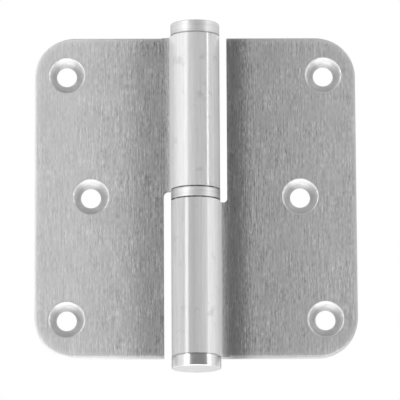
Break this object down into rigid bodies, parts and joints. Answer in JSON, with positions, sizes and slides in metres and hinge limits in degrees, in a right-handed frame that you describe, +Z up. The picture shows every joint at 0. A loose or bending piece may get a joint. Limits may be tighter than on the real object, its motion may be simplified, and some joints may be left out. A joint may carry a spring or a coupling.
{
  "type": "paumelle hinge",
  "caption": "Lift-off door hinge laid open flat: round-cornered steel leaves with rolled knuckles, a fixed pin, a bearing ring, flush end caps and countersunk screw holes.",
  "frame": {"origin": "on the pin's axis, midway up the hinge", "axes": "+Z up along the pin, the way the door leaf lifts off; +Y out of the leaves' backs, into the door and its frame; +X towards the frame leaf"},
  "size_m": [0.088, 0.0134, 0.0958],
  "materials": {
    "leaf_steel": "brushed along the pin",
    "turned_steel": "fine turned",
    "pin_steel": "ground"
  },
  "bodies": {
    "frame_side": {"frame_leaf": "leaf_steel", "hinge_pin": "pin_steel", "lower_cap": "turned_steel"},
    "ring": {"bearing_ring": "turned_steel"},
    "door_side": {"door_leaf": "leaf_steel", "upper_cap": "turned_steel"}
  },
  "joints": [
    {"name": "swing", "type": "hinge", "parent": "frame_side", "child": "ring", "pos_m": [0, 0, 0], "axis": [0, 0, 1], "range_deg": [-120, 180]},
    {"name": "lift_off", "type": "slide", "parent": "ring", "child": "door_side", "axis": [0, 0, 1], "range_m": [0, 0.04]}
  ]
}
